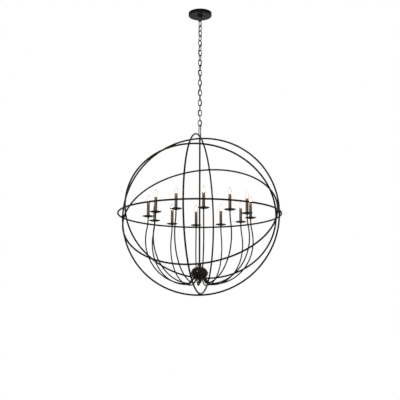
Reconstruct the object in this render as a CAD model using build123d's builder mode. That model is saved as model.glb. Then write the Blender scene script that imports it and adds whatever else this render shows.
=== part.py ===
"""An orb chandelier on a chain: five hoops round a stem, twelve candle arms out of a ball hub.

Millimetres, Z up. The origin is on the ceiling, at the middle of the crossbar's top face, so the
whole chandelier lies below it. X runs along the hoops' shared level diameter.
"""
from build123d import *
from math import asin, atan2, cos, degrees, hypot, radians, sin, sqrt, tan
import os

os.makedirs("parts", exist_ok=True)

# Shared
TOUCH = 0.05            # room left between pieces that seat on or are welded to each other
SLIP = 0.25             # radial room in a screwed or slipped fit
CHAIN_PLAY = 0.3        # room between a link and the one it hangs in

# Ceiling plate and canopy
BAR_LENGTH = 112.0
BAR_WIDTH = 24.0
BAR_THICK = 3.0
BOX_SCREW_PITCH = 88.9  # between the two box screws
SLOT_LENGTH = 16.0      # overall
SLOT_WIDTH = 4.8
EARTH_SCREW_D = 4.0
EARTH_SCREW_OUT = 22.0  # from the axis
CANOPY_D = 181.0
CANOPY_DEPTH = 25.0
CANOPY_WALL = 1.2
CANOPY_EDGE = 7.0       # radius of the lower edge
NIPPLE_D = 13.2
NIPPLE_BORE = 9.0
LOCKNUT_FLATS = 19.0
LOCKNUT_THICK = 5.0

# Canopy loop and its screw ring
LOOP_NECK_D = 25.0
LOOP_NECK_TOP = 13.0    # below the ceiling
LOOP_NECK_END = 38.0    # below the ceiling
LOOP_SOCKET = 12.0      # how far the nipple is screwed in
RING_NUT_D = 43.0
RING_NUT_TALL = 9.0
CANOPY_LOOP_BAR = 7.0   # thickness of the loop's round bar
CANOPY_LOOP_IN = 26.0   # inside width
LOOP_DROP = 69.0        # ceiling to the middle of the loop's lowest bar

# Chain
LINKS = 21
LINK_WIRE = 6.4
LINK_WIDE = 19.0        # inside
LINK_PITCH = 40.0
LAST_LINK_TURN = 11.0   # which way the lowest link faces, degrees from X
LINK_TWIST = 2.25       # how far the chain winds from one link to the next, past a quarter turn

# Orb loop
ORB_LOOP_BAR = 7.0
ORB_LOOP_WIDE = 24.0    # inside
ORB_LOOP_LONG = 71.0    # inside
ORB_LOOP_TURN = -54.0

# Hoops
ROD = 12.7
ORB_D = 1219.2          # over the level hoop
NEAR_HOOP_TILT = -52.0  # turn about X of the hoop that rises towards the front
FAR_HOOP_TILT = 47.0    # turn about X of the hoop that rises towards the back

# Stem
STEM_D = 12.7
STEM_BORE = 9.5
CORD_SLOT_DROP = 20.0   # under the stem's top, to the middle of the slot the cord goes in by
CORD_SLOT_LONG = 32.0
CORD_SLOT_WIDE = 6.0

# Hub, measured from the orb's middle downwards
SEAM_RISE = 179.6       # orb's lowest point to the hub's seam
CAP_R = 61.5
CAP_TALL = 44.0
BOWL_R = 63.5
BOWL_DEEP = 59.0
HUB_WALL = 1.5
RIM_R = 66.0
RIM_THICK = 2.4
RIM_IN = 57.0
NECK_R = 14.0
NECK_TALL = 26.0
FINIAL_R = 12.0
FINIAL_TALL = 31.0
FINIAL_TIP_R = 5.4

# Arms and candles
CANDLES = 12
FIRST_CANDLE = 15.0     # degrees from X
ARM_D = 9.5
ARM_BORE = 7.1
CANDLE_R = 380.0        # from the stem to a candle
ARM_BULGE = 17.0        # how far an arm swings out past its candle
ARM_WIDEST_DROP = 195.0
ARM_LOWEST_DROP = 85.0  # under the hub's seam
ARM_LOWEST_R = 98.0
ARM_EXIT_R = 44.0       # where an arm leaves the bowl
ARM_ROOT_BEND = 28.0
ARM_NUT_FLATS = 14.0
ARM_NUT_THICK = 6.0
PAN_D = 85.0
PAN_FLOOR_R = 17.0
PAN_RISE = 6.5
PAN_WALL = 1.0
PAN_FLOOR_DROP = 24.0   # orb middle to a pan's floor
SEAT_NUT_FLATS = 15.0
SEAT_NUT_THICK = 5.0
ARM_END_UP = 9.0        # how far an arm stands up through the pan
SLEEVE_D = 22.2
SLEEVE_WALL = 1.0
SLEEVE_TALL = 114.0
SOCKET_D = 19.0
SOCKET_POST_D = 12.5
SOCKET_CUP_TALL = 38.0
SOCKET_TOP_GAP = 4.0    # socket's mouth below the sleeve's mouth
BULB_BASE_D = 11.6
BULB_BASE_TALL = 20.0
BULB_D = 27.0
BULB_TALL = 62.0        # above the sleeve
BULB_NECK_D = 13.0
GLASS_WALL = 0.7
FILAMENT_WIRE = 0.7
FILAMENT_TALL = 36.0

# Cord
CORD_D = 3.6
CORD_HELIX_R = 7.3      # how far the cord winds from the chain's axis
CORD_CLEAR = 1.2        # from the side hoop, where the cord passes it


# Places worked out from the sizes
LINK_LONG = LINK_PITCH + CHAIN_PLAY
ORB_LOOP_TOP = -LOOP_DROP - LINKS * LINK_PITCH + LINK_WIRE / 2 + ORB_LOOP_BAR / 2 + CHAIN_PLAY
ORB_TOP = ORB_LOOP_TOP - ORB_LOOP_LONG - ORB_LOOP_BAR - ORB_LOOP_BAR / 2 - TOUCH
LEVEL_R = ORB_D / 2 - ROD / 2
POLE_R = LEVEL_R - ROD - TOUCH
HOOP_SHIFT = (ROD + TOUCH) / 2
UPRIGHT_R = hypot(POLE_R, HOOP_SHIFT)
FAR_R = sqrt(UPRIGHT_R**2 - (2 * HOOP_SHIFT) ** 2) - ROD - TOUCH
NEAR_R = FAR_R - ROD - TOUCH
ORB_Z = ORB_TOP - HOOP_SHIFT - UPRIGHT_R - ROD / 2
FRONT_LEAN = degrees(asin((ROD / 2 + STEM_D / 2 + TOUCH) / UPRIGHT_R))
STEM_TOP = ORB_TOP - ROD - TOUCH
SEAM_Z = ORB_Z - ORB_D / 2 + SEAM_RISE
PAN_Z = ORB_Z - PAN_FLOOR_DROP
SLEEVE_TOP = PAN_Z + TOUCH + SLEEVE_TALL
ARM_BACK = HUB_WALL + 0.7 + ARM_NUT_THICK + 4.0


def link_turn(number):
    """Heading of a link's plane, in degrees from X; number 0 is the canopy loop."""
    return LAST_LINK_TURN + (LINKS - number) * (90.0 + LINK_TWIST)


def contact_z(number):
    """Height of the middle of a link's lowest bend; number 0 is the canopy loop."""
    return -LOOP_DROP - number * LINK_PITCH


def save(built, name):
    """Name a finished piece and write its file."""
    built.part.label = name
    export_step(built.part, f"parts/{name}.step")


def polar(radius, height):
    """The candles' places: level points round the stem, each turned to face out."""
    spread = PolarLocations(radius, CANDLES, FIRST_CANDLE)
    return [Pos(0, 0, height) * place for place in spread.locations]


def oval(wide, long, bar):
    """A closed oval of round bar, hung in the XZ plane with its top bend's middle at the origin."""
    half = (wide + bar) / 2
    straight = long - wide
    with BuildPart() as closed:
        with BuildLine() as route:
            Line((half, -half - straight), (half, -half))
            CenterArc((0, -half), half, 0, 180)
            Line((-half, -half), (-half, -half - straight))
            CenterArc((0, -half - straight), half, 180, 180)
        with BuildSketch(Plane((half, -half - straight, 0), x_dir=(1, 0, 0), z_dir=(0, 1, 0))):
            Circle(bar / 2)
        sweep(path=route.wires()[0])
    return Rot(90, 0, 0) * closed.part


def hang(shape, height, turn):
    """A copy of an oval, hung at a height and turned about the chain."""
    with BuildPart() as hung:
        with Locations(Location((0, 0, height), (0, 0, turn))):
            add(shape)
    return hung


def hoop(radius, height, turn):
    """One ring of round rod, turned from level."""
    with BuildPart() as ring:
        with Locations(Location((0, 0, height), turn)):
            Torus(radius, ROD / 2)
    return ring


# Ceiling plate and canopy

with BuildPart() as crossbar:
    with BuildSketch(Plane.XY.offset(-BAR_THICK)):
        RectangleRounded(BAR_LENGTH, BAR_WIDTH, 3.0)
        with GridLocations(BOX_SCREW_PITCH, 0, 2, 1):
            SlotOverall(SLOT_LENGTH, SLOT_WIDTH, mode=Mode.SUBTRACT)
        Circle(NIPPLE_D / 2 + TOUCH, mode=Mode.SUBTRACT)
        with Locations((EARTH_SCREW_OUT, 0)):
            Circle(EARTH_SCREW_D / 2 + TOUCH, mode=Mode.SUBTRACT)
    extrude(amount=BAR_THICK)
save(crossbar, "crossbar")

with BuildPart() as earth_screw:
    with Locations((EARTH_SCREW_OUT, 0, -BAR_THICK - TOUCH)):
        Cylinder(EARTH_SCREW_D, 2.4, align=(Align.CENTER, Align.CENTER, Align.MAX))
        Cylinder(EARTH_SCREW_D / 2, BAR_THICK + TOUCH, align=(Align.CENTER, Align.CENTER, Align.MIN))
    underside = earth_screw.faces().sort_by(Axis.Z)[0]
    chamfer(underside.edges(), 0.5)
    with Locations((EARTH_SCREW_OUT, 0, -BAR_THICK - TOUCH - 2.4)):
        Box(2 * EARTH_SCREW_D, 0.9, 1.6, mode=Mode.SUBTRACT)
save(earth_screw, "earth_screw")

with BuildPart() as nipple:
    with BuildSketch():
        Circle(NIPPLE_D / 2)
        Circle(NIPPLE_BORE / 2, mode=Mode.SUBTRACT)
    extrude(amount=-(LOOP_NECK_TOP + LOOP_SOCKET))
    chamfer(nipple.edges().filter_by(GeomType.CIRCLE).sort_by(SortBy.RADIUS)[-2:], 0.6)
save(nipple, "nipple")

with BuildPart() as locknut:
    with BuildSketch(Plane.XY.offset(-BAR_THICK - TOUCH)):
        RegularPolygon(LOCKNUT_FLATS / 2, 6, major_radius=False)
        Circle(NIPPLE_D / 2 + TOUCH, mode=Mode.SUBTRACT)
    extrude(amount=-LOCKNUT_THICK)
save(locknut, "locknut")

with BuildPart() as canopy:
    Cylinder(CANOPY_D / 2, CANOPY_DEPTH, align=(Align.CENTER, Align.CENTER, Align.MAX))
    fillet(canopy.edges().sort_by(Axis.Z)[0], CANOPY_EDGE)
    offset(amount=-CANOPY_WALL, openings=canopy.faces().sort_by(Axis.Z)[-1])
    with Locations((0, 0, -CANOPY_DEPTH)):
        Cylinder(LOOP_NECK_D / 2 + SLIP, 4 * CANOPY_WALL, mode=Mode.SUBTRACT)
save(canopy, "canopy")

CANOPY_LOOP_R = (CANOPY_LOOP_IN + CANOPY_LOOP_BAR) / 2
CANOPY_LOOP_Z = -LOOP_DROP - (CANOPY_LOOP_BAR - LINK_WIRE) / 2 + CANOPY_LOOP_R

with BuildPart() as canopy_loop:
    with Locations((0, 0, -LOOP_NECK_TOP)):
        Cylinder(LOOP_NECK_D / 2, LOOP_NECK_END - LOOP_NECK_TOP, align=(Align.CENTER, Align.CENTER, Align.MAX))
    chamfer(canopy_loop.faces().sort_by(Axis.Z)[-1].edges(), 1.0)
    with Locations(Pos(0, 0, CANOPY_LOOP_Z) * Rot(0, 0, link_turn(0)) * Rot(90, 0, 0)):
        Torus(CANOPY_LOOP_R, CANOPY_LOOP_BAR / 2)
    with Locations((0, 0, -LOOP_NECK_TOP)):
        Cylinder(
            NIPPLE_D / 2 + TOUCH, LOOP_SOCKET + TOUCH,
            align=(Align.CENTER, Align.CENTER, Align.MAX), mode=Mode.SUBTRACT,
        )
        Cylinder(
            NIPPLE_BORE / 2, LOOP_NECK_END - LOOP_NECK_TOP + CANOPY_LOOP_BAR,
            align=(Align.CENTER, Align.CENTER, Align.MAX), mode=Mode.SUBTRACT,
        )
save(canopy_loop, "canopy_loop")

with BuildPart() as screw_ring:
    with Locations((0, 0, -CANOPY_DEPTH - TOUCH)):
        Cylinder(RING_NUT_D / 2, RING_NUT_TALL, align=(Align.CENTER, Align.CENTER, Align.MAX))
        fillet(screw_ring.edges().sort_by(Axis.Z)[0], 3.0)
        Cylinder(
            LOOP_NECK_D / 2 + TOUCH, RING_NUT_TALL,
            align=(Align.CENTER, Align.CENTER, Align.MAX), mode=Mode.SUBTRACT,
        )
save(screw_ring, "screw_ring")

# Chain

link_shape = oval(LINK_WIDE, LINK_LONG, LINK_WIRE)
for number in range(1, LINKS + 1):
    link = hang(link_shape, contact_z(number) + LINK_LONG + LINK_WIRE, link_turn(number))
    save(link, f"link_{number:02d}")

# Hoops

side_hoop = hoop(UPRIGHT_R, ORB_Z + HOOP_SHIFT, (0, 90, 0))
save(side_hoop, "side_hoop")

front_hoop = hoop(UPRIGHT_R, ORB_Z - HOOP_SHIFT, (90 - FRONT_LEAN, 0, 0))
save(front_hoop, "front_hoop")

level_hoop = hoop(LEVEL_R, ORB_Z, (0, 0, 0))
save(level_hoop, "level_hoop")

near_hoop = hoop(NEAR_R, ORB_Z + HOOP_SHIFT, (NEAR_HOOP_TILT, 0, 0))
save(near_hoop, "near_hoop")

far_hoop = hoop(FAR_R, ORB_Z + HOOP_SHIFT, (FAR_HOOP_TILT, 0, 0))
save(far_hoop, "far_hoop")

orb_loop = hang(oval(ORB_LOOP_WIDE, ORB_LOOP_LONG, ORB_LOOP_BAR), ORB_LOOP_TOP, ORB_LOOP_TURN)
save(orb_loop, "orb_loop")

# Stem and hub

BOWL_Z = SEAM_Z - RIM_THICK / 2
BOWL_LOW = BOWL_Z - BOWL_DEEP
STEM_END = BOWL_LOW - 12.0

with BuildPart() as stem:
    with BuildSketch(Plane.XY.offset(STEM_TOP)):
        Circle(STEM_D / 2)
        Circle(STEM_BORE / 2, mode=Mode.SUBTRACT)
    extrude(amount=STEM_END - STEM_TOP)
    with BuildSketch(Plane.YZ):
        with Locations((0, STEM_TOP - CORD_SLOT_DROP), (0, SEAM_Z)):
            SlotOverall(CORD_SLOT_LONG, CORD_SLOT_WIDE, rotation=90)
    extrude(amount=STEM_D, mode=Mode.SUBTRACT)
save(stem, "stem")


def half_shell(radius, tall, wall, start, middle):
    """Half of a hollow egg about the stem, above its middle from 0 degrees or below it from -90."""
    with BuildPart() as shell:
        with BuildSketch(Plane.XZ):
            with BuildLine():
                outer = EllipticalCenterArc((0, middle), radius, tall, start)
                inner = EllipticalCenterArc((0, middle), radius - wall, tall - wall, start)
                Line(outer @ 0, inner @ 0)
                Line(outer @ 1, inner @ 1)
            make_face()
        revolve(axis=Axis.Z)
    return shell


with BuildPart() as hub_cap:
    add(half_shell(CAP_R, CAP_TALL, HUB_WALL, 0, SEAM_Z + TOUCH).part)
    with Locations((0, 0, SEAM_Z + CAP_TALL)):
        Cylinder(STEM_D / 2 + SLIP, 4 * HUB_WALL, mode=Mode.SUBTRACT)
save(hub_cap, "hub_cap")

exit_rise = sqrt(1 - (ARM_EXIT_R / BOWL_R) ** 2)
EXIT_Z = BOWL_Z - BOWL_DEEP * exit_rise
EXIT_FALL = atan2(exit_rise / BOWL_DEEP, ARM_EXIT_R / BOWL_R**2)

with BuildPart() as hub_bowl:
    add(half_shell(BOWL_R, BOWL_DEEP, HUB_WALL, -90, BOWL_Z).part)
    with BuildSketch(Plane.XY.offset(SEAM_Z - RIM_THICK)):
        Circle(RIM_R)
        Circle(RIM_IN, mode=Mode.SUBTRACT)
    extrude(amount=RIM_THICK)
    fillet(hub_bowl.faces().sort_by(Axis.Z)[-1].edges().sort_by(SortBy.RADIUS)[-1], 1.0)
    with Locations((0, 0, BOWL_LOW)):
        Cylinder(STEM_D / 2 + SLIP, 4 * HUB_WALL, mode=Mode.SUBTRACT)
    for place in polar(ARM_EXIT_R, EXIT_Z):
        with Locations(place * Rot(0, 90 + degrees(EXIT_FALL), 0)):
            Cylinder(ARM_D / 2 + TOUCH, 8 * HUB_WALL, mode=Mode.SUBTRACT)
save(hub_bowl, "hub_bowl")

NECK_BORE = STEM_D / 2 + TOUCH
NECK_FOOT = NECK_TALL / 5
NECK_REACH = degrees(asin(NECK_R / (CAP_R + TOUCH)))
BORE_REACH = degrees(asin(NECK_BORE / (CAP_R + TOUCH)))

with BuildPart() as hub_neck:
    with BuildSketch(Plane.XZ):
        with BuildLine():
            seat = EllipticalCenterArc(
                (0, SEAM_Z + TOUCH), CAP_R + TOUCH, CAP_TALL + TOUCH, 90 - NECK_REACH,
                arc_size=NECK_REACH - BORE_REACH,
            )
            foot = Line(seat @ 0, seat @ 0 + Vector(0, NECK_FOOT))
            brow = Line(seat @ 1, (NECK_BORE, SEAM_Z + CAP_TALL + NECK_TALL))
            lip = Line(brow @ 1, brow @ 1 + Vector(1.6, 0))
            TangentArc(foot @ 1, lip @ 1, tangent=(0, 1))
        make_face()
    revolve(axis=Axis.Z)
save(hub_neck, "hub_neck")

FINIAL_TOP = BOWL_LOW - TOUCH
FINIAL_WAIST = FINIAL_TOP - 0.72 * FINIAL_TALL

with BuildPart() as finial:
    with BuildSketch(Plane.XZ):
        with BuildLine():
            ThreePointArc((9.0, FINIAL_TOP - 3.0), (FINIAL_R, FINIAL_TOP - 12.0), (4.4, FINIAL_WAIST))
            Polyline(
                (4.4, FINIAL_WAIST), (0, FINIAL_WAIST), (0, FINIAL_TOP), (9.0, FINIAL_TOP),
                (9.0, FINIAL_TOP - 3.0),
            )
        make_face()
    revolve(axis=Axis.Z)
    with Locations((0, 0, FINIAL_TOP - FINIAL_TALL + FINIAL_TIP_R)):
        Sphere(FINIAL_TIP_R)
    with Locations((0, 0, BOWL_LOW)):
        Cylinder(
            STEM_D / 2 + TOUCH, BOWL_LOW - STEM_END + TOUCH,
            align=(Align.CENTER, Align.CENTER, Align.MAX), mode=Mode.SUBTRACT,
        )
save(finial, "finial")

# Arms

root = (ARM_EXIT_R - ARM_BACK * cos(EXIT_FALL), EXIT_Z + ARM_BACK * sin(EXIT_FALL))
low_z = SEAM_Z - ARM_LOWEST_DROP
wide_z = ORB_Z - ARM_WIDEST_DROP
knee = (ARM_EXIT_R + (EXIT_Z - low_z) / tan(EXIT_FALL), low_z)
root_bend = min(ARM_ROOT_BEND, 0.9 * (ARM_LOWEST_R - knee[0]) / tan(EXIT_FALL / 2))
sway_end = PAN_Z - PAN_WALL - SEAT_NUT_THICK - 4.0
sway_turn = 2 * atan2(ARM_BULGE, sway_end - wide_z)
sway_r = (sway_end - wide_z) / (2 * sin(sway_turn))

with BuildPart() as arm:
    with BuildLine() as arm_route:
        leg = FilletPolyline(root, knee, (ARM_LOWEST_R, low_z), radius=root_bend)
        EllipticalCenterArc(
            (ARM_LOWEST_R, wide_z), CANDLE_R + ARM_BULGE - ARM_LOWEST_R, wide_z - low_z, -90
        )
        sway_in = JernArc((CANDLE_R + ARM_BULGE, wide_z), (0, 1), sway_r, degrees(sway_turn))
        sway_out = JernArc(sway_in @ 1, sway_in % 1, sway_r, -degrees(sway_turn))
        Line(sway_out @ 1, (CANDLE_R, PAN_Z + ARM_END_UP))
    with BuildSketch(Plane(leg @ 0, x_dir=(0, 0, 1), z_dir=leg % 0)):
        Circle(ARM_D / 2)
        Circle(ARM_BORE / 2, mode=Mode.SUBTRACT)
    sweep(path=arm_route.wires()[0])

with BuildPart() as arms:
    for place in polar(0, 0):
        with Locations(place * Rot(90, 0, 0)):
            add(arm.part)
save(arms, "arms")

with BuildPart() as arm_nuts:
    for place in polar(ARM_EXIT_R, EXIT_Z):
        with BuildSketch(Plane(place * Rot(0, 90 + degrees(EXIT_FALL), 0)).offset(-HUB_WALL - 0.7)):
            RegularPolygon(ARM_NUT_FLATS / 2, 6, major_radius=False)
            Circle(ARM_D / 2 + TOUCH, mode=Mode.SUBTRACT)
        extrude(amount=-ARM_NUT_THICK)
save(arm_nuts, "arm_nuts")

# Candles


def ring_of_twelve(shape, name):
    """Stand a copy of one finished candle piece, made on the axis, on every arm."""
    with BuildPart() as group:
        for place in polar(CANDLE_R, 0):
            with Locations(place):
                add(shape)
    save(group, name)


with BuildPart() as pan:
    with BuildSketch(Plane.XZ):
        with BuildLine():
            floor = Line((ARM_D / 2 + TOUCH, PAN_Z), (PAN_FLOOR_R, PAN_Z))
            flare = TangentArc(floor @ 1, (PAN_D / 2, PAN_Z + PAN_RISE), tangent=(1, 0))
            edge = Line(flare @ 1, flare @ 1 - Vector(0, PAN_WALL))
            under = TangentArc(floor @ 1 - Vector(0, PAN_WALL), edge @ 1, tangent=(1, 0))
            Polyline(under @ 0, floor @ 0 - Vector(0, PAN_WALL), floor @ 0)
        make_face()
    revolve(axis=Axis.Z)
    with Locations((0, 0, PAN_Z + PAN_RISE - PAN_WALL / 2)):
        Torus(PAN_D / 2 - PAN_WALL, PAN_WALL)
ring_of_twelve(pan.part, "drip_pans")

with BuildPart() as seat_nut:
    with BuildSketch(Plane.XY.offset(PAN_Z - PAN_WALL - TOUCH)):
        RegularPolygon(SEAT_NUT_FLATS / 2, 6, major_radius=False)
        Circle(ARM_D / 2 + TOUCH, mode=Mode.SUBTRACT)
    extrude(amount=-SEAT_NUT_THICK)
ring_of_twelve(seat_nut.part, "seat_nuts")

SOCKET_TOP = SLEEVE_TOP - SOCKET_TOP_GAP
SOCKET_FLOOR = SOCKET_TOP - BULB_BASE_TALL + 2.0

with BuildPart() as lamp_socket:
    with BuildSketch(Plane.XY.offset(PAN_Z + TOUCH)):
        Circle(SOCKET_POST_D / 2)
    extrude(amount=SOCKET_TOP - SOCKET_CUP_TALL - PAN_Z - TOUCH)
    with BuildSketch(Plane.XY.offset(SOCKET_TOP)):
        Circle(SOCKET_D / 2)
    extrude(amount=-SOCKET_CUP_TALL)
    with Locations((0, 0, PAN_Z)):
        Cylinder(
            ARM_D / 2 + TOUCH, ARM_END_UP + TOUCH,
            align=(Align.CENTER, Align.CENTER, Align.MIN), mode=Mode.SUBTRACT,
        )
    with Locations((0, 0, SOCKET_TOP)):
        Cylinder(
            BULB_BASE_D / 2 + SLIP, SOCKET_TOP - SOCKET_FLOOR,
            align=(Align.CENTER, Align.CENTER, Align.MAX), mode=Mode.SUBTRACT,
        )
ring_of_twelve(lamp_socket.part, "lamp_sockets")

with BuildPart() as sleeve:
    with BuildSketch(Plane.XY.offset(PAN_Z + TOUCH)):
        Circle(SLEEVE_D / 2)
        Circle(SLEEVE_D / 2 - SLEEVE_WALL, mode=Mode.SUBTRACT)
    extrude(amount=SLEEVE_TALL)
ring_of_twelve(sleeve.part, "candle_sleeves")

BASE_TOP = SOCKET_FLOOR + TOUCH + BULB_BASE_TALL

with BuildPart() as bulb_base:
    with Locations((0, 0, BASE_TOP)):
        Cylinder(BULB_BASE_D / 2, BULB_BASE_TALL, align=(Align.CENTER, Align.CENTER, Align.MAX))
    fillet(bulb_base.edges().sort_by(Axis.Z)[0], 2.0)
ring_of_twelve(bulb_base.part, "bulb_bases")

GLASS_TALL = SLEEVE_TOP + BULB_TALL - BASE_TOP


def flame(inset):
    """Half outline of a flame bulb from its neck to its tip, drawn in by the glass's thickness."""
    with BuildLine() as outline:
        Spline(
            (BULB_NECK_D / 2 - inset, BASE_TOP + TOUCH),
            (BULB_D / 2 - inset, BASE_TOP + GLASS_TALL * 0.36),
            (BULB_D * 0.29 - inset, BASE_TOP + GLASS_TALL * 0.68),
            (0, BASE_TOP + GLASS_TALL - 1.5 * inset),
            tangents=((0.35, 1), (-0.1, 1)),
        )
    return outline.edges()[0]


with BuildPart() as bulb_glass:
    with BuildSketch(Plane.XZ):
        with BuildLine():
            skin = add(flame(0))
            lining = add(flame(GLASS_WALL))
            Line((BULB_NECK_D / 2, BASE_TOP + TOUCH), (BULB_NECK_D / 2 - GLASS_WALL, BASE_TOP + TOUCH))
            Line((0, BASE_TOP + GLASS_TALL), (0, BASE_TOP + GLASS_TALL - 1.5 * GLASS_WALL))
        make_face()
    revolve(axis=Axis.Z)
ring_of_twelve(bulb_glass.part, "bulb_glasses")

with BuildPart() as filament:
    with BuildLine() as wire_route:
        FilletPolyline(
            (-2.0, BASE_TOP + TOUCH), (-2.0, BASE_TOP + 4.0), (-4.0, BASE_TOP + FILAMENT_TALL),
            (4.0, BASE_TOP + FILAMENT_TALL), (2.0, BASE_TOP + 4.0), (2.0, BASE_TOP + TOUCH), radius=3.0,
        )
    with BuildSketch(Plane(wire_route.wires()[0] @ 0, x_dir=(0, 0, 1), z_dir=wire_route.wires()[0] % 0)):
        Circle(FILAMENT_WIRE / 2)
    sweep(path=wire_route.wires()[0])
filament_up = Rot(90, 0, 0) * filament.part
ring_of_twelve(filament_up, "bulb_filaments")

# Cord

CORD_FOOT = contact_z(LINKS) + (LINK_WIRE + CHAIN_PLAY) / 2
CORD_START = LAST_LINK_TURN + 45.0
CORD_SIDE = ROD / 2 + CORD_D / 2 + CORD_CLEAR
CORD_ENTRY = STEM_TOP - 2.4 * CORD_SLOT_DROP
CORD_END = STEM_TOP - 4 * CORD_SLOT_DROP
CORD_MOUTH = CANOPY_LOOP_Z + CANOPY_LOOP_IN / 2 - CORD_D
UPWARD = (0, 0, 1)


def wound(links_up, wider=0.0):
    """Where the cord is, so many links above its lowest one: it keeps between the links' wires."""
    angle = radians(CORD_START - (90.0 - LINK_TWIST) * links_up)
    rise = CORD_FOOT + links_up * LINK_PITCH
    return ((CORD_HELIX_R + wider) * cos(angle), (CORD_HELIX_R + wider) * sin(angle), rise)


def heading(links_up):
    """The way the winding cord runs there, going up."""
    turn = radians(90.0 - LINK_TWIST)
    angle = radians(CORD_START) - turn * links_up
    return (CORD_HELIX_R * turn * sin(angle), -CORD_HELIX_R * turn * cos(angle), LINK_PITCH)


beside_hoop = (CORD_SIDE, 0, STEM_TOP + ROD / 2)
# The canopy loop's bar is thicker than a link's wire, so the cord passes it further out
past_loop = wound(LINKS, (CANOPY_LOOP_BAR - LINK_WIRE) / 2 / sin(radians(45.0)))

with BuildPart() as supply_cord:
    with BuildLine() as cord_route:
        Line((0, 0, CORD_END), (0, 0, CORD_ENTRY))
        Spline((0, 0, CORD_ENTRY), beside_hoop, tangents=(UPWARD, UPWARD))
        Spline(beside_hoop, wound(0), tangents=(UPWARD, heading(0)))
        for link in range(LINKS - 1):
            Spline(wound(link), wound(link + 0.5), wound(link + 1), tangents=(heading(link), heading(link + 1)))
        Spline(
            wound(LINKS - 1), wound(LINKS - 0.5), past_loop, tangents=(heading(LINKS - 1), heading(LINKS))
        )
        Spline(past_loop, (0, 0, CORD_MOUTH), tangents=(heading(LINKS), UPWARD))
        Line((0, 0, CORD_MOUTH), (0, 0, -BAR_THICK))
    with BuildSketch(Plane((0, 0, CORD_END))):
        Circle(CORD_D / 2)
    sweep(path=cord_route.wires()[0])
save(supply_cord, "supply_cord")
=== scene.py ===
"""Looks for the orb chandelier: dark bronze hoops, candle lamps, woven supply cord and weld beads.

Metres, Z up, in the frame of the solids: the origin is on the ceiling, the chandelier hangs below it.
"""
import math

import bpy
import numpy as np
from mathutils import Matrix, Vector


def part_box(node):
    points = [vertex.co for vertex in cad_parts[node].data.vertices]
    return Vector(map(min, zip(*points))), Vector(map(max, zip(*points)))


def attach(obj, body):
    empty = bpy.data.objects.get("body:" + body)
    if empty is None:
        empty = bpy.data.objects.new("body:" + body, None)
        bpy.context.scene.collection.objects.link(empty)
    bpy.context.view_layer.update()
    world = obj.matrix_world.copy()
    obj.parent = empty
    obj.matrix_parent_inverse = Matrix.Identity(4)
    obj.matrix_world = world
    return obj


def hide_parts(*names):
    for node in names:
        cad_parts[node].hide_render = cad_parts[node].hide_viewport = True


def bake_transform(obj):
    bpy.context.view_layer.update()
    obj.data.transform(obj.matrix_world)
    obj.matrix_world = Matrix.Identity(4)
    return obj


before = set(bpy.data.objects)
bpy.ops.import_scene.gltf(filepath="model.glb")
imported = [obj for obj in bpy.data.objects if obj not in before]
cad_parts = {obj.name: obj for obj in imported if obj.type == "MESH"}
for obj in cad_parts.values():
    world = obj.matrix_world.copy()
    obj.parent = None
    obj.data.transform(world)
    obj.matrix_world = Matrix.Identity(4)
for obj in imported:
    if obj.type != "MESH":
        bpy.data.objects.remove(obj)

MM = 0.001

# Camera, fitted to the hoops of the photograph: place from the orb's middle and heading
CAMERA_FROM_ORB = (1.1507, -6.0060, -1.0819)
CAMERA_PITCH = 11.019
CAMERA_YAW = 10.824
CAMERA_ROLL = 0.148
FOCAL_PIXELS = 838.23
PHOTO_PIXELS = 400.0
SENSOR_MM = 36.0

# Sizes that the solids carry
ROD_R = 12.7 * MM / 2
LEVEL_LOW, LEVEL_HIGH = (np.array(corner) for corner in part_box("level_hoop"))
ORB_MIDDLE = (LEVEL_LOW + LEVEL_HIGH) / 2
LEVEL_R = LEVEL_HIGH[0] - ROD_R
CANDLES = 12
FIRST_CANDLE = 15.0
CANDLE_R = 0.380
FAR_HOOP_TILT = 47.0

# Chain and cord, as the solids have them
LINKS = 21
LINK_PITCH = 40.0 * MM
LINK_TWIST = 2.25
LAST_LINK_TURN = 11.0
LOOP_DROP = 69.0 * MM
LINK_WIRE = 6.4 * MM
LINK_WIDE = 19.0 * MM     # inside
CHAIN_PLAY = 0.3 * MM
CORD_R = 1.8 * MM
CORD_WIND_R = 7.3 * MM
CORD_WIDER = 0.424 * MM    # further out past the canopy loop's thicker bar
CORD_SIDE = 9.35 * MM
CORD_MOUTH = -44.1 * MM
CORD_TOP = -3.0 * MM
CORD_ENTRY_DROP = 48.0 * MM   # under the stem's top, to where the cord is inside the stem
CORD_TAIL = 32.0 * MM
CORD_SIDES = 12
CORD_STEPS = 16           # path points to a link

# Weld beads: half sizes across, along and up
BEAD_ROUND = 28
BEAD_ROWS = 15
HOOP_BEAD = (8.5 * MM, 8.5 * MM, 4.2 * MM)
LOOP_BEAD = (7.5 * MM, 9.5 * MM, 4.5 * MM)

# Screw ring's knurling
KNURL_WAVES = 48
KNURL_COLUMNS = 12 * KNURL_WAVES
KNURL_ROWS = 17
KNURL_SUNK = 0.2 * MM
KNURL_DEEP = 0.5 * MM

# Butt seams of the links
SEAM_SIDES = 32
SEAM_ROWS = 9
SEAM_SUNK = 0.1 * MM
SEAM_PROUD = 0.35 * MM
SEAM_HALF_LONG = 1.1 * MM

# Lamps: where the glass's painted warm glow turns to grey, and the light inside it
GLASS_PAINTED_GLOW_ABOVE_FOOT = 18.0 * MM
GLASS_GREY_BELOW_TIP = 6.0 * MM
GLOW_HEIGHT_SHARE = 0.42
GLOW_WATTS = 0.55
GLOW_SOFT = 6.0 * MM


# Mesh helpers


def put_mesh(name, points, faces, smooth=True):
    """A mesh object at the origin from an array of points and an array of faces."""
    mesh = bpy.data.meshes.new(name)
    mesh.from_pydata(points.tolist(), [], faces.tolist())
    mesh.polygons.foreach_set("use_smooth", np.full(len(mesh.polygons), smooth))
    mesh.update()
    piece = bpy.data.objects.new(name, mesh)
    bpy.context.scene.collection.objects.link(piece)
    return piece


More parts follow.
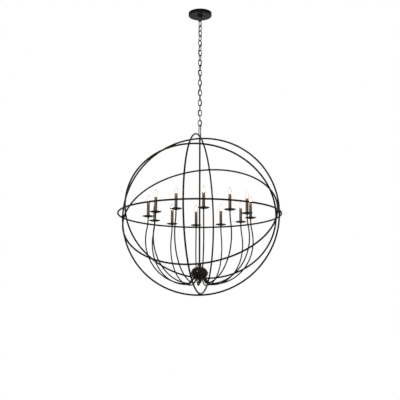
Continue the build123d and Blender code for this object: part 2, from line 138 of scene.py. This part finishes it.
def grid_faces(rows, columns, first=0):
    """Quads of a grid of rows by columns that is closed round its columns."""
    row, column = np.meshgrid(np.arange(rows - 1), np.arange(columns), indexing="ij")
    here = first + row * columns + column
    beside = first + row * columns + (column + 1) % columns
    quads = np.stack([here, beside, beside + columns, here + columns], axis=-1)
    return quads.reshape(-1, 4)


def tube(path, radius, sides):
    """Points of a round tube: at each path point, the circle radius * (cos a * n + sin a * b).

    n and b are carried along the path by taking a fixed side vector's part square to the tangent.
    """
    along = np.gradient(path, axis=0)
    along /= np.linalg.norm(along, axis=1)[:, None]
    side = np.array([0.9, 0.35, 0.1])
    normal = side - along * (along @ side)[:, None]
    normal /= np.linalg.norm(normal, axis=1)[:, None]
    other = np.cross(along, normal)
    turn = np.linspace(0, 2 * np.pi, sides, endpoint=False)
    ring = np.cos(turn)[None, :, None] * normal[:, None] + np.sin(turn)[None, :, None] * other[:, None]
    return (path[:, None] + radius * ring).reshape(-1, 3)


# Shader groups


def new_group(name, inputs, outputs):
    """An empty shader group with named sockets, each given as (name, kind, value)."""
    group = bpy.data.node_groups.new(name, "ShaderNodeTree")
    for title, kind, value in inputs:
        socket = group.interface.new_socket(title, in_out="INPUT", socket_type=kind)
        if value is not None:
            socket.default_value = value
    for title, kind in outputs:
        group.interface.new_socket(title, in_out="OUTPUT", socket_type=kind)
    return group, group.nodes.new("NodeGroupInput"), group.nodes.new("NodeGroupOutput")


def noise(tree, vector, scale, detail, roughness=0.5):
    """A noise texture on the given coordinates."""
    node = tree.nodes.new("ShaderNodeTexNoise")
    node.inputs["Scale"].default_value = scale
    node.inputs["Detail"].default_value = detail
    node.inputs["Roughness"].default_value = roughness
    tree.links.new(vector, node.inputs["Vector"])
    return node.outputs["Fac"]


def spread(tree, value, low, high, to_low, to_high):
    """Map a value from one range to another, clamped."""
    node = tree.nodes.new("ShaderNodeMapRange")
    node.inputs["From Min"].default_value = low
    node.inputs["From Max"].default_value = high
    node.inputs["To Min"].default_value = to_low
    node.inputs["To Max"].default_value = to_high
    tree.links.new(value, node.inputs["Value"])
    return node.outputs["Result"]


def mix_colour(tree, factor, first, second):
    """Mix two colours by a factor."""
    node = tree.nodes.new("ShaderNodeMix")
    node.data_type = "RGBA"
    tree.links.new(factor, node.inputs[0])
    for socket, colour in ((node.inputs[6], first), (node.inputs[7], second)):
        if isinstance(colour, bpy.types.NodeSocket):
            tree.links.new(colour, socket)
        else:
            socket.default_value = colour
    return node.outputs[2]


def hand_finish_group():
    """Hand-applied finish: broad mottling, small rubbed spots and a fine brushed height.

    Colour is the ground mixed to the mottle by wide noise, then to the rub by the peaks of a fine noise.
    """
    group, given, out = new_group(
        "hand_finish",
        [
            ("Ground", "NodeSocketColor", (0.02, 0.017, 0.014, 1)),
            ("Mottle", "NodeSocketColor", (0.04, 0.03, 0.022, 1)),
            ("Rub", "NodeSocketColor", (0.12, 0.075, 0.045, 1)),
            ("Rub Amount", "NodeSocketFloat", 0.5),
            ("Dull", "NodeSocketFloat", 0.5),
        ],
        [("Colour", "NodeSocketColor"), ("Roughness", "NodeSocketFloat"), ("Height", "NodeSocketFloat")],
    )
    place = group.nodes.new("ShaderNodeTexCoord").outputs["Object"]
    broad = spread(group, noise(group, place, 9.0, 4.0), 0.35, 0.68, 0.0, 1.0)
    fine = noise(group, place, 240.0, 6.0, 0.65)
    rubbed = spread(group, fine, 0.6, 0.78, 0.0, 1.0)
    amount = group.nodes.new("ShaderNodeMath")
    amount.operation = "MULTIPLY"
    group.links.new(rubbed, amount.inputs[0])
    group.links.new(given.outputs["Rub Amount"], amount.inputs[1])
    mottled = mix_colour(group, broad, given.outputs["Ground"], given.outputs["Mottle"])
    coloured = mix_colour(group, amount.outputs[0], mottled, given.outputs["Rub"])
    group.links.new(coloured, out.inputs["Colour"])
    dull = group.nodes.new("ShaderNodeMath")
    dull.operation = "ADD"
    group.links.new(spread(group, fine, 0.3, 0.7, -0.09, 0.09), dull.inputs[0])
    group.links.new(given.outputs["Dull"], dull.inputs[1])
    group.links.new(dull.outputs[0], out.inputs["Roughness"])
    group.links.new(fine, out.inputs["Height"])
    return group


HAND_FINISH = hand_finish_group()


def finished(name, ground, mottle, rub, rub_amount, dull, shine, bump, metallic=0.0):
    """A material of the hand-applied finish with its own colours."""
    material = bpy.data.materials.new(name)
    material.use_nodes = True
    tree = material.node_tree
    shader = tree.nodes["Principled BSDF"]
    skin = tree.nodes.new("ShaderNodeGroup")
    skin.node_tree = HAND_FINISH
    skin.inputs["Ground"].default_value = (*ground, 1)
    skin.inputs["Mottle"].default_value = (*mottle, 1)
    skin.inputs["Rub"].default_value = (*rub, 1)
    skin.inputs["Rub Amount"].default_value = rub_amount
    skin.inputs["Dull"].default_value = dull
    tree.links.new(skin.outputs["Colour"], shader.inputs["Base Color"])
    tree.links.new(skin.outputs["Roughness"], shader.inputs["Roughness"])
    relief = tree.nodes.new("ShaderNodeBump")
    relief.inputs["Strength"].default_value = bump
    relief.inputs["Distance"].default_value = 0.0004
    tree.links.new(skin.outputs["Height"], relief.inputs["Height"])
    tree.links.new(relief.outputs["Normal"], shader.inputs["Normal"])
    shader.inputs["Metallic"].default_value = metallic
    shader.inputs["Specular IOR Level"].default_value = shine
    return material


bronze = finished(
    "dark bronze",
    ground=(0.0035, 0.0019, 0.0008), mottle=(0.0105, 0.0056, 0.0024), rub=(0.06, 0.03, 0.013),
    rub_amount=0.35, dull=0.5, shine=0.045, bump=0.25,
)
black_iron = finished(
    "black hub",
    ground=(0.001, 0.00095, 0.0009), mottle=(0.0025, 0.002, 0.0016), rub=(0.022, 0.013, 0.008),
    rub_amount=0.3, dull=0.18, shine=0.1, bump=0.06,
)
canopy_bronze = finished(
    "canopy bronze",
    ground=(0.0012, 0.0011, 0.001), mottle=(0.003, 0.0026, 0.0023), rub=(0.02, 0.015, 0.011),
    rub_amount=0.25, dull=0.3, shine=0.045, bump=0.15,
)
chain_bronze = finished(
    "chain bronze",
    ground=(0.0015, 0.0012, 0.0009), mottle=(0.004, 0.003, 0.0022), rub=(0.03, 0.02, 0.013),
    rub_amount=0.3, dull=0.45, shine=0.04, bump=0.25,
)
candle_brown = finished(
    "candle cover",
    ground=(0.016, 0.0098, 0.006), mottle=(0.032, 0.0195, 0.0115), rub=(0.08, 0.048, 0.027),
    rub_amount=0.4, dull=0.5, shine=0.3, bump=0.15,
)
zinc = finished(
    "zinc plate",
    ground=(0.5, 0.51, 0.52), mottle=(0.62, 0.62, 0.6), rub=(0.75, 0.74, 0.7),
    rub_amount=0.4, dull=0.32, shine=0.5, bump=0.1, metallic=1.0,
)
earth_green = finished(
    "earth green",
    ground=(0.03, 0.2, 0.06), mottle=(0.05, 0.27, 0.09), rub=(0.3, 0.4, 0.25),
    rub_amount=0.3, dull=0.4, shine=0.5, bump=0.1, metallic=0.6,
)
socket_black = finished(
    "socket moulding",
    ground=(0.02, 0.02, 0.02), mottle=(0.03, 0.03, 0.03), rub=(0.06, 0.06, 0.06),
    rub_amount=0.3, dull=0.45, shine=0.3, bump=0.1,
)
lamp_brass = finished(
    "lamp brass",
    ground=(0.6, 0.42, 0.16), mottle=(0.7, 0.5, 0.22), rub=(0.8, 0.65, 0.35),
    rub_amount=0.3, dull=0.3, shine=0.5, bump=0.1, metallic=1.0,
)


def height_share(tree, low, high):
    """How far a point lies between two heights, from 0 at the low one to 1 at the high one."""
    place = tree.nodes.new("ShaderNodeTexCoord").outputs["Object"]
    split = tree.nodes.new("ShaderNodeSeparateXYZ")
    tree.links.new(place, split.inputs[0])
    return spread(tree, split.outputs["Z"], low, high, 0.0, 1.0)


def painted_mouth_glow(material, low, high, strength):
    """Paint the bulb's light onto a cover's wall towards its mouth: a painted glow, as emission that grows
    as the cube of the height share.
    """
    tree = material.node_tree
    shader = tree.nodes["Principled BSDF"]
    share = height_share(tree, low, high)
    cube = tree.nodes.new("ShaderNodeMath")
    cube.operation = "POWER"
    cube.inputs[1].default_value = 3.0
    tree.links.new(share, cube.inputs[0])
    level = tree.nodes.new("ShaderNodeMath")
    level.operation = "MULTIPLY"
    level.inputs[1].default_value = strength
    tree.links.new(cube.outputs[0], level.inputs[0])
    tree.links.new(level.outputs[0], shader.inputs["Emission Strength"])
    shader.inputs["Emission Color"].default_value = (1.0, 0.5, 0.2, 1)


def clear_glass():
    """Thin clear lamp glass, seen through: a painted warm glow of the lit wire tinted into its lower part,
    grey at its tip and towards its edges.

    The tint of each wall is mixed by the facing share, so the outline darkens as a thin round wall does.
    """
    material = bpy.data.materials.new("lamp glass")
    material.use_nodes = True
    tree = material.node_tree
    tree.nodes.remove(tree.nodes["Principled BSDF"])
    low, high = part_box("bulb_glasses")
    share = height_share(tree, low[2] + GLASS_PAINTED_GLOW_ABOVE_FOOT, high[2] - GLASS_GREY_BELOW_TIP)
    # Painted light: the lower glass is tinted warm, which paints the glow of the lit wire.
    front = mix_colour(tree, share, (1.0, 0.965, 0.91, 1), (0.95, 0.95, 0.955, 1))
    edge = mix_colour(tree, share, (0.88, 0.83, 0.78, 1), (0.76, 0.76, 0.775, 1))
    facing = tree.nodes.new("ShaderNodeLayerWeight")
    facing.inputs["Blend"].default_value = 0.4
    tint = mix_colour(tree, facing.outputs["Facing"], front, edge)
    through = tree.nodes.new("ShaderNodeBsdfTransparent")
    tree.links.new(tint, through.inputs["Color"])
    gloss = tree.nodes.new("ShaderNodeBsdfGlossy")
    gloss.inputs["Roughness"].default_value = 0.04
    mixed = tree.nodes.new("ShaderNodeMixShader")
    mixed.inputs["Fac"].default_value = 0.05
    tree.links.new(through.outputs[0], mixed.inputs[1])
    tree.links.new(gloss.outputs[0], mixed.inputs[2])
    tree.links.new(mixed.outputs[0], tree.nodes["Material Output"].inputs["Surface"])
    return material


def lit_wire():
    """Glowing filament wire."""
    material = bpy.data.materials.new("lit filament")
    material.use_nodes = True
    shader = material.node_tree.nodes["Principled BSDF"]
    shader.inputs["Base Color"].default_value = (0.9, 0.7, 0.45, 1)
    shader.inputs["Emission Color"].default_value = (1.0, 0.74, 0.44, 1)
    shader.inputs["Emission Strength"].default_value = 14.0
    return material


def cord_sheath():
    """Clear plastic sheath over tinned wire: grey with a fine twist of light and dark along the cord."""
    material = bpy.data.materials.new("cord sheath")
    material.use_nodes = True
    tree = material.node_tree
    shader = tree.nodes["Principled BSDF"]
    place = tree.nodes.new("ShaderNodeTexCoord").outputs["Object"]
    strands = spread(tree, noise(tree, place, 420.0, 3.0), 0.35, 0.65, 0.0, 1.0)
    tone = mix_colour(tree, strands, (0.022, 0.02, 0.018, 1), (0.085, 0.08, 0.075, 1))
    tree.links.new(tone, shader.inputs["Base Color"])
    shader.inputs["Roughness"].default_value = 0.25
    shader.inputs["Coat Weight"].default_value = 0.2
    return material


SLEEVE_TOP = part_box("candle_sleeves")[1][2]
PAINTED_GLOW_LONG = 45.0 * MM
# Painted light: emission paints the bulbs' warm light onto the top of every candle cover.
painted_mouth_glow(candle_brown, SLEEVE_TOP - PAINTED_GLOW_LONG, SLEEVE_TOP, 0.3)
lamp_glass = clear_glass()
filament_glow = lit_wire()
sheath = cord_sheath()

NODE_FINISH = {
    "crossbar": zinc,
    "nipple": zinc,
    "locknut": zinc,
    "arm_nuts": zinc,
    "earth_screw": earth_green,
    "canopy": canopy_bronze,
    "canopy_loop": black_iron,
    "screw_ring": black_iron,
    "orb_loop": chain_bronze,
    "hub_cap": black_iron,
    "hub_bowl": black_iron,
    "hub_neck": black_iron,
    "finial": black_iron,
    "candle_sleeves": candle_brown,
    "lamp_sockets": socket_black,
    "bulb_bases": lamp_brass,
    "bulb_glasses": lamp_glass,
    "bulb_filaments": filament_glow,
    "supply_cord": sheath,
}
for name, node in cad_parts.items():
    chosen = chain_bronze if name.startswith("link_") else NODE_FINISH.get(name, bronze)
    node.data.materials.clear()
    node.data.materials.append(chosen)


# Supply cord


def hinge_height(number):
    """Height of the bar that link number + 1 hangs on; number 0 is the canopy loop."""
    return -LOOP_DROP - number * LINK_PITCH


def ease(start, end, leave, arrive, count):
    """Cubic from start to end that leaves and arrives along the given directions, scaled by its length."""
    span = np.linalg.norm(end - start)
    t = np.linspace(0, 1, count)[:, None]
    return (
        (2 * t**3 - 3 * t**2 + 1) * start
        + (t**3 - 2 * t**2 + t) * span * leave
        + (3 * t**2 - 2 * t**3) * end
        + (t**3 - t**2) * span * arrive
    )


def cord_path():
    """The cord's middle line from the nipple down to the stem.

    Down the chain it winds: angle = start - (90 - twist) * rise / pitch, at a set distance from the axis.
    """
    foot = hinge_height(LINKS) + (LINK_WIRE + CHAIN_PLAY) / 2
    rate = math.radians(90.0 - LINK_TWIST) / LINK_PITCH
    rise = np.linspace(LINKS * LINK_PITCH, 0, LINKS * CORD_STEPS + 1)
    angle = math.radians(LAST_LINK_TURN + 45.0) - rate * rise
    near_top = np.clip(rise / LINK_PITCH - (LINKS - 0.5), 0, 0.5) * 2
    out = CORD_WIND_R + CORD_WIDER * near_top**2 * (3 - 2 * near_top)
    wound = np.stack([out * np.cos(angle), out * np.sin(angle), foot + rise], axis=1)
    first = wound[1] - wound[0]
    last = wound[-1] - wound[-2]
    down = np.array([0.0, 0.0, -1.0])
    stem_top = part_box("stem")[1][2]
    beside = np.array([CORD_SIDE, 0, stem_top + ROD_R])
    inside = np.array([0, 0, stem_top - CORD_ENTRY_DROP])
    straight = np.stack([np.zeros(5), np.zeros(5), np.linspace(CORD_TOP, CORD_MOUTH, 5)], axis=1)
    into = ease(straight[-1], wound[0], down, first / np.linalg.norm(first), 12)
    drop = ease(wound[-1], beside, last / np.linalg.norm(last), down, 28)
    entry = ease(beside, inside, down, down, 20)
    tail = np.stack([np.zeros(4), np.zeros(4), np.linspace(inside[2], inside[2] - CORD_TAIL, 4)], axis=1)
    return np.concatenate([straight, into[1:], wound[1:], drop[1:], entry[1:], tail[1:]])


def lay_cord():
    """One length of cord for each hinge, cut half way along the links."""
    path = cord_path()
    skin = tube(path, CORD_R, CORD_SIDES).reshape(len(path), CORD_SIDES, 3)
    cuts = [0]
    for number in range(LINKS):
        middle = hinge_height(number) - LINK_PITCH / 2
        cuts.append(int(np.argmin(np.abs(path[:, 2] - middle))))
    cuts.append(len(path) - 1)
    lengths = []
    for number in range(LINKS + 1):
        part = skin[cuts[number] : cuts[number + 1] + 1]
        faces = grid_faces(len(part), CORD_SIDES)
        length = put_mesh(f"cord_length_{number + 1:02d}", part.reshape(-1, 3), faces)
        length.data.materials.append(sheath)
        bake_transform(length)
        lengths.append(length)
    for length in lengths:
        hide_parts("supply_cord")


lay_cord()


# Weld beads


def bead(name, at, across, along, size):
    """A lumpy weld: an egg of three sizes whose surface ripples by 1 + 0.08 sin(7a) cos(3b)."""
    round_about = np.linspace(0, 2 * np.pi, BEAD_ROUND, endpoint=False)
    a, b = np.meshgrid(round_about, np.linspace(0.02, np.pi - 0.02, BEAD_ROWS))
    swell = 1 + 0.08 * np.sin(7 * a) * np.cos(3 * b)
    local = np.stack([np.cos(a) * np.sin(b), np.sin(a) * np.sin(b), np.cos(b)], axis=-1) * swell[..., None]
    across = np.array(across) / np.linalg.norm(across)
    along = np.array(along) / np.linalg.norm(along)
    up = np.cross(across, along)
    axes = np.stack([across * size[0], along * size[1], up * size[2]])
    points = np.array(at) + local.reshape(-1, 3) @ axes
    faces = grid_faces(BEAD_ROWS, BEAD_ROUND)[:, ::-1]
    piece = put_mesh(name, points, faces)
    piece.data.materials.append(bronze)
    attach(piece, "orb")
    return piece


def weld_hoops():
    """A bead wherever two hoops touch: at both ends of X and Y, at top and bottom, and on the far hoop."""
    rod = 2 * ROD_R
    side_low, side_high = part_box("side_hoop")
    front_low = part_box("front_hoop")[0][2]
    nested = ORB_MIDDLE + np.array([0, 0, (side_low[2] + side_high[2]) / 2 - ORB_MIDDLE[2]])
    for sign in (-1, 1):
        end = "right" if sign > 0 else "left"
        for step, label in enumerate(("level_front", "front_far", "far_near")):
            centre = ORB_MIDDLE if step == 0 else nested
            at = centre + np.array([sign * (LEVEL_R - rod * (step + 0.5)), 0, 0])
            bead(f"weld_{label}_{end}", at, (0, 0, 1), (0, 1, 0), HOOP_BEAD)
        side = "back" if sign > 0 else "front"
        at = ORB_MIDDLE + np.array([0, sign * (LEVEL_R - rod / 2), 0])
        bead(f"weld_level_side_{side}", at, (0, 0, 1), (1, 0, 0), HOOP_BEAD)
        slope = math.radians(FAR_HOOP_TILT)
        outward = np.array([0, math.cos(slope), math.sin(slope)])
        at = nested + sign * (LEVEL_R - rod * 1.5) * outward
        bead(f"weld_far_side_{side}", at, (1, 0, 0), (0, -outward[2], outward[1]), HOOP_BEAD)
    bead("weld_top", (0, rod, side_high[2] - rod - 0.0002), (1, 0, 0), (0, 1, 0), HOOP_BEAD)
    bead("weld_bottom", (0, -rod, front_low + rod), (1, 0, 0), (0, 1, 0), HOOP_BEAD)
    bead("weld_loop", (0, 0, side_high[2]), (1, 0, 0), (0, 1, 0), LOOP_BEAD)


weld_hoops()


# Screw ring


def knurled_band():
    """Grip of the screw ring: a band whose radius is R + depth * |sin(n a + slope z)|, crossed both ways."""
    low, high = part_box("screw_ring")
    radius = high[0]
    inset = 0.15 * (high[2] - low[2])
    heights = np.linspace(low[2] + inset, high[2] - inset, KNURL_ROWS)
    a, z = np.meshgrid(np.linspace(0, 2 * np.pi, KNURL_COLUMNS, endpoint=False), heights)
    climb = (z - low[2]) / (high[2] - low[2]) * np.pi * 3
    grip = np.minimum(np.abs(np.sin(KNURL_WAVES * a + climb)), np.abs(np.sin(KNURL_WAVES * a - climb)))
    edge = np.minimum(1.0, np.minimum(z - heights[0], heights[-1] - z) / (0.12 * (high[2] - low[2])))
    out = radius - KNURL_SUNK + (KNURL_SUNK + KNURL_DEEP * grip) * edge
    points = np.stack([out * np.cos(a), out * np.sin(a), z], axis=-1).reshape(-1, 3)
    piece = put_mesh("screw_ring_grip", points, grid_faces(KNURL_ROWS, KNURL_COLUMNS))
    piece.data.materials.append(black_iron)
    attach(piece, "ceiling_set")


knurled_band()


# Link seams


def link_seam(number):
    """The butt seam of a link, half way down one side: a thin proud ring round the wire.

    Ring points are wire middle + (r + swell) * circle, with swell = h * cos^2 of the place along the wire.
    """
    low, high = (np.array(corner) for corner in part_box(f"link_{number:02d}"))
    turn = math.radians(LAST_LINK_TURN + (LINKS - number) * (90.0 + LINK_TWIST))
    wide = (LINK_WIDE + LINK_WIRE) / 2
    middle = np.array([wide * math.cos(turn), wide * math.sin(turn), (low[2] + high[2]) / 2])
    along = np.linspace(-1, 1, SEAM_ROWS)
    a, s = np.meshgrid(np.linspace(0, 2 * np.pi, SEAM_SIDES, endpoint=False), along)
    swell = SEAM_PROUD * np.cos(s * np.pi / 2) ** 2 * (1 + 0.2 * np.sin(5 * a))
    out = LINK_WIRE / 2 - SEAM_SUNK + swell
    ring = np.stack([out * np.cos(a), out * np.sin(a), s * SEAM_HALF_LONG], axis=-1)
    points = ring.reshape(-1, 3) + middle
    piece = put_mesh(f"link_seam_{number:02d}", points, grid_faces(SEAM_ROWS, SEAM_SIDES))
    piece.data.materials.append(chain_bronze)
    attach(piece, f"chain_link_{number:02d}")


for link in range(1, LINKS + 1):
    link_seam(link)


# Light, background and camera


def area(name, at, aim, size, power, colour):
    """A square lamp that faces a point."""
    lamp = bpy.data.lights.new(name, "AREA")
    lamp.size = size
    lamp.energy = power
    lamp.color = colour
    holder = bpy.data.objects.new(name, lamp)
    holder.location = at
    holder.rotation_euler = (Vector(aim) - Vector(at)).to_track_quat("-Z", "Y").to_euler()
    bpy.context.scene.collection.objects.link(holder)
    return holder


middle = Vector(ORB_MIDDLE)
area("key", middle + Vector((-1.5, -4.8, 0.7)), middle, 1.6, 300.0, (1.0, 0.98, 0.95))
area("fill", middle + Vector((4.2, -3.0, -0.4)), middle, 3.0, 70.0, (0.96, 0.98, 1.0))
area("back", middle + Vector((0.8, 4.6, 1.8)), middle, 3.0, 90.0, (1.0, 1.0, 1.0))


def candle_glow():
    """A small warm lamp inside every bulb, which lights its sleeve's rim and its drip pan."""
    glass_low, glass_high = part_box("bulb_glasses")
    height = glass_low[2] + GLOW_HEIGHT_SHARE * (glass_high[2] - glass_low[2])
    for number in range(CANDLES):
        angle = math.radians(FIRST_CANDLE + 30.0 * number)
        lamp = bpy.data.lights.new(f"glow_{number + 1:02d}", "POINT")
        lamp.energy = GLOW_WATTS
        lamp.color = (1.0, 0.66, 0.34)
        lamp.shadow_soft_size = GLOW_SOFT
        holder = bpy.data.objects.new(f"glow_{number + 1:02d}", lamp)
        holder.location = (CANDLE_R * math.cos(angle), CANDLE_R * math.sin(angle), height)
        bpy.context.scene.collection.objects.link(holder)


candle_glow()


def white_room():
    """White to the camera, in reflections and through glass; a softer white as light on the object."""
    world = bpy.data.worlds.new("white room")
    bpy.context.scene.world = world
    world.use_nodes = True
    tree = world.node_tree
    tree.nodes.clear()
    path = tree.nodes.new("ShaderNodeLightPath")
    seen = tree.nodes.new("ShaderNodeMath")
    seen.operation = "MAXIMUM"
    tree.links.new(path.outputs["Is Camera Ray"], seen.inputs[0])
    tree.links.new(path.outputs["Is Transmission Ray"], seen.inputs[1])
    both = tree.nodes.new("ShaderNodeMath")
    both.operation = "MAXIMUM"
    tree.links.new(seen.outputs[0], both.inputs[0])
    tree.links.new(path.outputs["Is Glossy Ray"], both.inputs[1])
    shown = tree.nodes.new("ShaderNodeBackground")
    shown.inputs["Color"].default_value = (1, 1, 1, 1)
    shown.inputs["Strength"].default_value = 1.0
    lit = tree.nodes.new("ShaderNodeBackground")
    lit.inputs["Color"].default_value = (1, 1, 1, 1)
    lit.inputs["Strength"].default_value = 0.4
    mixed = tree.nodes.new("ShaderNodeMixShader")
    tree.links.new(both.outputs[0], mixed.inputs["Fac"])
    tree.links.new(lit.outputs[0], mixed.inputs[1])
    tree.links.new(shown.outputs[0], mixed.inputs[2])
    tree.links.new(mixed.outputs[0], tree.nodes.new("ShaderNodeOutputWorld").inputs["Surface"])


white_room()


def set_camera():
    """The photograph's camera: heading from pitch, yaw and roll, lens from the focal length in pixels."""
    pitch, yaw, roll = (math.radians(v) for v in (CAMERA_PITCH, CAMERA_YAW, CAMERA_ROLL))
    ahead = Vector((-math.sin(yaw) * math.cos(pitch), math.cos(yaw) * math.cos(pitch), math.sin(pitch)))
    right = Vector((math.cos(yaw), math.sin(yaw), 0))
    up = right.cross(ahead)
    right, up = right * math.cos(roll) + up * math.sin(roll), up * math.cos(roll) - right * math.sin(roll)
    turn = Matrix((right, up, -ahead)).transposed()
    lens = bpy.data.cameras.new("camera")
    lens.sensor_width = SENSOR_MM
    lens.lens = FOCAL_PIXELS / PHOTO_PIXELS * SENSOR_MM
    holder = bpy.data.objects.new("camera", lens)
    holder.matrix_world = Matrix.Translation(middle + Vector(CAMERA_FROM_ORB)) @ turn.to_4x4()
    bpy.context.scene.collection.objects.link(holder)
    bpy.context.scene.camera = holder


set_camera()
bpy.context.scene.view_settings.view_transform = "Standard"


def write_sizes():
    """Bring the view layer up to date."""
    bpy.context.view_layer.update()


write_sizes()
